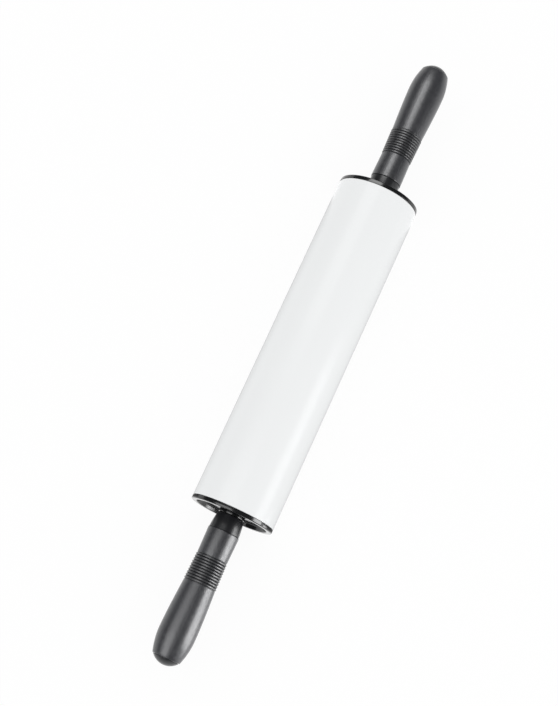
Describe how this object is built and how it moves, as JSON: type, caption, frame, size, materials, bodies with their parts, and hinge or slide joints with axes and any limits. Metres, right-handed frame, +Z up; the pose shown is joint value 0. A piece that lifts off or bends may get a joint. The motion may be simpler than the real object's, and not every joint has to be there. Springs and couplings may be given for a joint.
{
  "type": "rolling pin",
  "caption": "Rolling pin with a smooth coated barrel that spins on ball bearings round a fixed axle with ribbed, swelling handles at its ends.",
  "frame": {"origin": "on the table, under the middle of the barrel", "axes": "+X along the axle towards the right handle, +Z up"},
  "size_m": [0.4704, 0.0598, 0.0598],
  "materials": {
    "coating": "satin",
    "gloss": "gloss",
    "grip": "satin",
    "steel": "satin",
    "zinc": "satin",
    "nylon": "satin"
  },
  "bodies": {
    "axle_and_handles": {"axle_rod": "steel", "inner_race_left": "steel", "circlip_left": "steel", "neck_collar_left": "grip", "handle_left": "grip", "washer_left": "zinc", "lock_nut_left": "zinc", "end_plug_left": "grip", "inner_race_right": "steel", "circlip_right": "steel", "neck_collar_right": "grip", "handle_right": "grip", "washer_right": "zinc", "lock_nut_right": "zinc", "end_plug_right": "grip"},
    "barrel": {"barrel_tube": "coating", "end_cap_left": "gloss", "dust_ring_left": "gloss", "outer_race_left": "steel", "shield_outward_left": "zinc", "shield_inward_left": "zinc", "end_cap_right": "gloss", "dust_ring_right": "gloss", "outer_race_right": "steel", "shield_outward_right": "zinc", "shield_inward_right": "zinc"},
    "ball_set_left": {"ball_cage_left": "nylon", "bearing_ball_left_1": "steel", "bearing_ball_left_2": "steel", "bearing_ball_left_3": "steel", "bearing_ball_left_4": "steel", "bearing_ball_left_5": "steel", "bearing_ball_left_6": "steel", "bearing_ball_left_7": "steel"},
    "ball_set_right": {"ball_cage_right": "nylon", "bearing_ball_right_1": "steel", "bearing_ball_right_2": "steel", "bearing_ball_right_3": "steel", "bearing_ball_right_4": "steel", "bearing_ball_right_5": "steel", "bearing_ball_right_6": "steel", "bearing_ball_right_7": "steel"}
  },
  "joints": [
    {"name": "barrel_spin", "type": "hinge", "parent": "axle_and_handles", "child": "barrel", "pos_m": [0, 0, 0.02989], "axis": [1, 0, 0], "continuous": true},
    {"name": "ball_set_left_spin", "type": "hinge", "parent": "axle_and_handles", "child": "ball_set_left", "pos_m": [-0.1161, 0, 0.02989], "axis": [1, 0, 0], "continuous": true},
    {"name": "ball_set_right_spin", "type": "hinge", "parent": "axle_and_handles", "child": "ball_set_right", "pos_m": [0.1161, 0, 0.02989], "axis": [1, 0, 0], "continuous": true}
  ],
  "couplings": [
    {"joint": "ball_set_left_spin", "follows": "barrel_spin", "ratio": 0.6323},
    {"joint": "ball_set_right_spin", "follows": "barrel_spin", "ratio": 0.6323}
  ]
}
